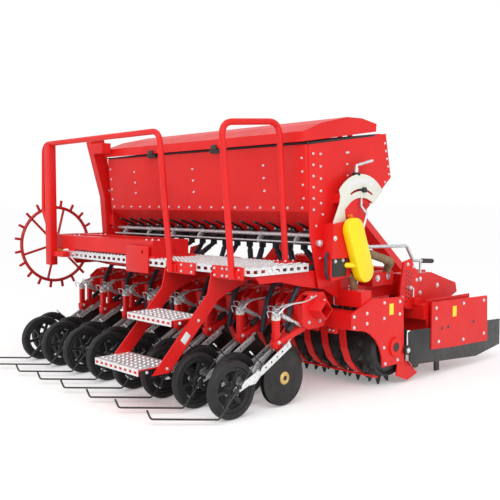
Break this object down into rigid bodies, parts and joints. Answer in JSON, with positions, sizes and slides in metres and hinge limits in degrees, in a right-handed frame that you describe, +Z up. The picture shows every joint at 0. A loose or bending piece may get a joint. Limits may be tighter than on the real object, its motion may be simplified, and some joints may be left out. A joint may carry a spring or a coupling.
{
  "type": "mounted seed drill on a power harrow",
  "caption": "Mounted seed drill with hopper, disc coulters and press wheels, carried on a power harrow with a tooth packer roller, ladder, walkway and star wheel.",
  "frame": {"origin": "under the middle of the machine's box, on the ground", "axes": "+X across the machine to its drive side, +Y in the direction of travel, +Z up"},
  "size_m": [2.785, 3.0168, 1.748],
  "materials": {
    "black_rubber": "matt black",
    "black_steel": "dark oiled steel",
    "blue_black_rubber": "matt blue-black",
    "dark_red_paint": "satin dark red",
    "ivory_paint": "satin ivory",
    "red_paint": "gloss red",
    "yellow_paint": "gloss yellow",
    "zinc": "zinc plated"
  },
  "bodies": {
    "machine": {"chain_guard": "yellow_paint", "coulter_bank": "red_paint", "dial_plate": "ivory_paint", "drill_frame": "red_paint", "drive_case": "red_paint", "harrow_frame": "red_paint", "hopper": "red_paint", "ladder": "red_paint", "metering_unit": "black_steel", "platform": "zinc", "rear_handrail": "red_paint", "roller_frame": "red_paint", "seed_tubes": "blue_black_rubber", "side_handrail": "red_paint", "star_wheel_frame": "red_paint"},
    "harrow_rotor_1": {"harrow_rotor_1": "black_steel"},
    "harrow_rotor_10": {"harrow_rotor_10": "black_steel"},
    "harrow_rotor_2": {"harrow_rotor_2": "black_steel"},
    "harrow_rotor_3": {"harrow_rotor_3": "black_steel"},
    "harrow_rotor_4": {"harrow_rotor_4": "black_steel"},
    "harrow_rotor_5": {"harrow_rotor_5": "black_steel"},
    "harrow_rotor_6": {"harrow_rotor_6": "black_steel"},
    "harrow_rotor_7": {"harrow_rotor_7": "black_steel"},
    "harrow_rotor_8": {"harrow_rotor_8": "black_steel"},
    "harrow_rotor_9": {"harrow_rotor_9": "black_steel"},
    "hopper_lid": {"hopper_lid": "red_paint"},
    "opener_discs_front_1": {"opener_discs_front_1": "black_steel"},
    "opener_discs_front_2": {"opener_discs_front_2": "black_steel"},
    "opener_discs_front_3": {"opener_discs_front_3": "black_steel"},
    "opener_discs_front_4": {"opener_discs_front_4": "black_steel"},
    "opener_discs_front_5": {"opener_discs_front_5": "black_steel"},
    "opener_discs_front_6": {"opener_discs_front_6": "black_steel"},
    "opener_discs_front_7": {"opener_discs_front_7": "black_steel"},
    "opener_discs_front_8": {"opener_discs_front_8": "black_steel"},
    "opener_discs_rear_1": {"opener_discs_rear_1": "black_steel"},
    "opener_discs_rear_2": {"opener_discs_rear_2": "black_steel"},
    "opener_discs_rear_3": {"opener_discs_rear_3": "black_steel"},
    "opener_discs_rear_4": {"opener_discs_rear_4": "black_steel"},
    "opener_discs_rear_5": {"opener_discs_rear_5": "black_steel"},
    "opener_discs_rear_6": {"opener_discs_rear_6": "black_steel"},
    "opener_discs_rear_7": {"opener_discs_rear_7": "black_steel"},
    "opener_discs_rear_8": {"opener_discs_rear_8": "black_steel"},
    "packer_roller": {"packer_roller": "black_steel"},
    "press_wheel_front_1": {"press_wheel_front_1": "black_rubber"},
    "press_wheel_front_2": {"press_wheel_front_2": "black_rubber"},
    "press_wheel_front_3": {"press_wheel_front_3": "black_rubber"},
    "press_wheel_front_4": {"press_wheel_front_4": "black_rubber"},
    "press_wheel_front_5": {"press_wheel_front_5": "black_rubber"},
    "press_wheel_front_6": {"press_wheel_front_6": "black_rubber"},
    "press_wheel_front_7": {"press_wheel_front_7": "black_rubber"},
    "press_wheel_front_8": {"press_wheel_front_8": "black_rubber"},
    "press_wheel_rear_1": {"press_wheel_rear_1": "black_rubber"},
    "press_wheel_rear_2": {"press_wheel_rear_2": "black_rubber"},
    "press_wheel_rear_3": {"press_wheel_rear_3": "black_rubber"},
    "press_wheel_rear_4": {"press_wheel_rear_4": "black_rubber"},
    "press_wheel_rear_5": {"press_wheel_rear_5": "black_rubber"},
    "press_wheel_rear_6": {"press_wheel_rear_6": "black_rubber"},
    "press_wheel_rear_7": {"press_wheel_rear_7": "black_rubber"},
    "press_wheel_rear_8": {"press_wheel_rear_8": "black_rubber"},
    "star_wheel": {"star_wheel": "dark_red_paint"}
  },
  "joints": [
    {"name": "opener_discs_front_1_spin", "type": "hinge", "parent": "machine", "child": "opener_discs_front_1", "pos_m": [-1.1625, -0.53758, 0.17], "axis": [1, 0, 0], "continuous": true},
    {"name": "opener_discs_front_2_spin", "type": "hinge", "parent": "machine", "child": "opener_discs_front_2", "pos_m": [-0.85, -0.53758, 0.17], "axis": [1, 0, 0], "continuous": true},
    {"name": "opener_discs_front_3_spin", "type": "hinge", "parent": "machine", "child": "opener_discs_front_3", "pos_m": [-0.5375, -0.53758, 0.17], "axis": [1, 0, 0], "continuous": true},
    {"name": "opener_discs_front_4_spin", "type": "hinge", "parent": "machine", "child": "opener_discs_front_4", "pos_m": [-0.225, -0.53758, 0.17], "axis": [1, 0, 0], "continuous": true},
    {"name": "opener_discs_front_5_spin", "type": "hinge", "parent": "machine", "child": "opener_discs_front_5", "pos_m": [0.0875, -0.53758, 0.17], "axis": [1, 0, 0], "continuous": true},
    {"name": "opener_discs_front_6_spin", "type": "hinge", "parent": "machine", "child": "opener_discs_front_6", "pos_m": [0.4, -0.53758, 0.17], "axis": [1, 0, 0], "continuous": true},
    {"name": "opener_discs_front_7_spin", "type": "hinge", "parent": "machine", "child": "opener_discs_front_7", "pos_m": [0.7125, -0.53758, 0.17], "axis": [1, 0, 0], "continuous": true},
    {"name": "opener_discs_front_8_spin", "type": "hinge", "parent": "machine", "child": "opener_discs_front_8", "pos_m": [1.025, -0.53758, 0.17], "axis": [1, 0, 0], "continuous": true},
    {"name": "opener_discs_rear_1_spin", "type": "hinge", "parent": "machine", "child": "opener_discs_rear_1", "pos_m": [-1.00625, -0.69758, 0.17], "axis": [1, 0, 0], "continuous": true},
    {"name": "opener_discs_rear_2_spin", "type": "hinge", "parent": "machine", "child": "opener_discs_rear_2", "pos_m": [-0.69375, -0.69758, 0.17], "axis": [1, 0, 0], "continuous": true},
    {"name": "opener_discs_rear_3_spin", "type": "hinge", "parent": "machine", "child": "opener_discs_rear_3", "pos_m": [-0.38125, -0.69758, 0.17], "axis": [1, 0, 0], "continuous": true},
    {"name": "opener_discs_rear_4_spin", "type": "hinge", "parent": "machine", "child": "opener_discs_rear_4", "pos_m": [-0.06875, -0.69758, 0.17], "axis": [1, 0, 0], "continuous": true},
    {"name": "opener_discs_rear_5_spin", "type": "hinge", "parent": "machine", "child": "opener_discs_rear_5", "pos_m": [0.24375, -0.69758, 0.17], "axis": [1, 0, 0], "continuous": true},
    {"name": "opener_discs_rear_6_spin", "type": "hinge", "parent": "machine", "child": "opener_discs_rear_6", "pos_m": [0.55625, -0.69758, 0.17], "axis": [1, 0, 0], "continuous": true},
    {"name": "opener_discs_rear_7_spin", "type": "hinge", "parent": "machine", "child": "opener_discs_rear_7", "pos_m": [0.86875, -0.69758, 0.17], "axis": [1, 0, 0], "continuous": true},
    {"name": "opener_discs_rear_8_spin", "type": "hinge", "parent": "machine", "child": "opener_discs_rear_8", "pos_m": [1.18125, -0.69758, 0.17], "axis": [1, 0, 0], "continuous": true},
    {"name": "packer_roller_spin", "type": "hinge", "parent": "machine", "child": "packer_roller", "pos_m": [0.0875, 0.17242, 0.262], "axis": [1, 0, 0], "continuous": true},
    {"name": "press_wheel_front_1_spin", "type": "hinge", "parent": "machine", "child": "press_wheel_front_1", "pos_m": [-1.1625, -0.93758, 0.165], "axis": [1, 0, 0], "continuous": true},
    {"name": "press_wheel_front_2_spin", "type": "hinge", "parent": "machine", "child": "press_wheel_front_2", "pos_m": [-0.85, -0.93758, 0.165], "axis": [1, 0, 0], "continuous": true},
    {"name": "press_wheel_front_3_spin", "type": "hinge", "parent": "machine", "child": "press_wheel_front_3", "pos_m": [-0.5375, -0.93758, 0.165], "axis": [1, 0, 0], "continuous": true},
    {"name": "press_wheel_front_4_spin", "type": "hinge", "parent": "machine", "child": "press_wheel_front_4", "pos_m": [-0.225, -0.93758, 0.165], "axis": [1, 0, 0], "continuous": true},
    {"name": "press_wheel_front_5_spin", "type": "hinge", "parent": "machine", "child": "press_wheel_front_5", "pos_m": [0.0875, -0.93758, 0.165], "axis": [1, 0, 0], "continuous": true},
    {"name": "press_wheel_front_6_spin", "type": "hinge", "parent": "machine", "child": "press_wheel_front_6", "pos_m": [0.4, -0.93758, 0.165], "axis": [1, 0, 0], "continuous": true},
    {"name": "press_wheel_front_7_spin", "type": "hinge", "parent": "machine", "child": "press_wheel_front_7", "pos_m": [0.7125, -0.93758, 0.165], "axis": [1, 0, 0], "continuous": true},
    {"name": "press_wheel_front_8_spin", "type": "hinge", "parent": "machine", "child": "press_wheel_front_8", "pos_m": [1.025, -0.93758, 0.165], "axis": [1, 0, 0], "continuous": true},
    {"name": "press_wheel_rear_1_spin", "type": "hinge", "parent": "machine", "child": "press_wheel_rear_1", "pos_m": [-1.00625, -1.09758, 0.165], "axis": [1, 0, 0], "continuous": true},
    {"name": "press_wheel_rear_2_spin", "type": "hinge", "parent": "machine", "child": "press_wheel_rear_2", "pos_m": [-0.69375, -1.09758, 0.165], "axis": [1, 0, 0], "continuous": true},
    {"name": "press_wheel_rear_3_spin", "type": "hinge", "parent": "machine", "child": "press_wheel_rear_3", "pos_m": [-0.38125, -1.09758, 0.165], "axis": [1, 0, 0], "continuous": true},
    {"name": "press_wheel_rear_4_spin", "type": "hinge", "parent": "machine", "child": "press_wheel_rear_4", "pos_m": [-0.06875, -1.09758, 0.165], "axis": [1, 0, 0], "continuous": true},
    {"name": "press_wheel_rear_5_spin", "type": "hinge", "parent": "machine", "child": "press_wheel_rear_5", "pos_m": [0.24375, -1.09758, 0.165], "axis": [1, 0, 0], "continuous": true},
    {"name": "press_wheel_rear_6_spin", "type": "hinge", "parent": "machine", "child": "press_wheel_rear_6", "pos_m": [0.55625, -1.09758, 0.165], "axis": [1, 0, 0], "continuous": true},
    {"name": "press_wheel_rear_7_spin", "type": "hinge", "parent": "machine", "child": "press_wheel_rear_7", "pos_m": [0.86875, -1.09758, 0.165], "axis": [1, 0, 0], "continuous": true},
    {"name": "press_wheel_rear_8_spin", "type": "hinge", "parent": "machine", "child": "press_wheel_rear_8", "pos_m": [1.18125, -1.09758, 0.165], "axis": [1, 0, 0], "continuous": true},
    {"name": "star_wheel_spin", "type": "hinge", "parent": "machine", "child": "star_wheel", "pos_m": [-1.3325, -0.79558, 0.863], "axis": [1, 0, 0], "continuous": true},
    {"name": "harrow_rotor_1_spin", "type": "hinge", "parent": "machine", "child": "harrow_rotor_1", "pos_m": [-1.0375, 0.76242, 0], "axis": [0, 0, 1], "continuous": true},
    {"name": "harrow_rotor_2_spin", "type": "hinge", "parent": "machine", "child": "harrow_rotor_2", "pos_m": [-0.7875, 0.76242, 0], "axis": [0, 0, 1], "continuous": true},
    {"name": "harrow_rotor_3_spin", "type": "hinge", "parent": "machine", "child": "harrow_rotor_3", "pos_m": [-0.5375, 0.76242, 0], "axis": [0, 0, 1], "continuous": true},
    {"name": "harrow_rotor_4_spin", "type": "hinge", "parent": "machine", "child": "harrow_rotor_4", "pos_m": [-0.2875, 0.76242, 0], "axis": [0, 0, 1], "continuous": true},
    {"name": "harrow_rotor_5_spin", "type": "hinge", "parent": "machine", "child": "harrow_rotor_5", "pos_m": [-0.0375, 0.76242, 0], "axis": [0, 0, 1], "continuous": true},
    {"name": "harrow_rotor_6_spin", "type": "hinge", "parent": "machine", "child": "harrow_rotor_6", "pos_m": [0.2125, 0.76242, 0], "axis": [0, 0, 1], "continuous": true},
    {"name": "harrow_rotor_7_spin", "type": "hinge", "parent": "machine", "child": "harrow_rotor_7", "pos_m": [0.4625, 0.76242, 0], "axis": [0, 0, 1], "continuous": true},
    {"name": "harrow_rotor_8_spin", "type": "hinge", "parent": "machine", "child": "harrow_rotor_8", "pos_m": [0.7125, 0.76242, 0], "axis": [0, 0, 1], "continuous": true},
    {"name": "harrow_rotor_9_spin", "type": "hinge", "parent": "machine", "child": "harrow_rotor_9", "pos_m": [0.9625, 0.76242, 0], "axis": [0, 0, 1], "continuous": true},
    {"name": "harrow_rotor_10_spin", "type": "hinge", "parent": "machine", "child": "harrow_rotor_10", "pos_m": [1.2125, 0.76242, 0], "axis": [0, 0, 1], "continuous": true},
    {"name": "hopper_lid_hinge", "type": "hinge", "parent": "machine", "child": "hopper_lid", "pos_m": [0.0875, 0.20842, 1.684], "axis": [-1, 0, 0], "range_deg": [0, 85]}
  ],
  "couplings": [
    {"joint": "harrow_rotor_2_spin", "follows": "harrow_rotor_1_spin", "ratio": -1},
    {"joint": "harrow_rotor_3_spin", "follows": "harrow_rotor_1_spin", "ratio": 1},
    {"joint": "harrow_rotor_4_spin", "follows": "harrow_rotor_1_spin", "ratio": -1},
    {"joint": "harrow_rotor_5_spin", "follows": "harrow_rotor_1_spin", "ratio": 1},
    {"joint": "harrow_rotor_6_spin", "follows": "harrow_rotor_1_spin", "ratio": -1},
    {"joint": "harrow_rotor_7_spin", "follows": "harrow_rotor_1_spin", "ratio": 1},
    {"joint": "harrow_rotor_8_spin", "follows": "harrow_rotor_1_spin", "ratio": -1},
    {"joint": "harrow_rotor_9_spin", "follows": "harrow_rotor_1_spin", "ratio": 1},
    {"joint": "harrow_rotor_10_spin", "follows": "harrow_rotor_1_spin", "ratio": -1}
  ]
}
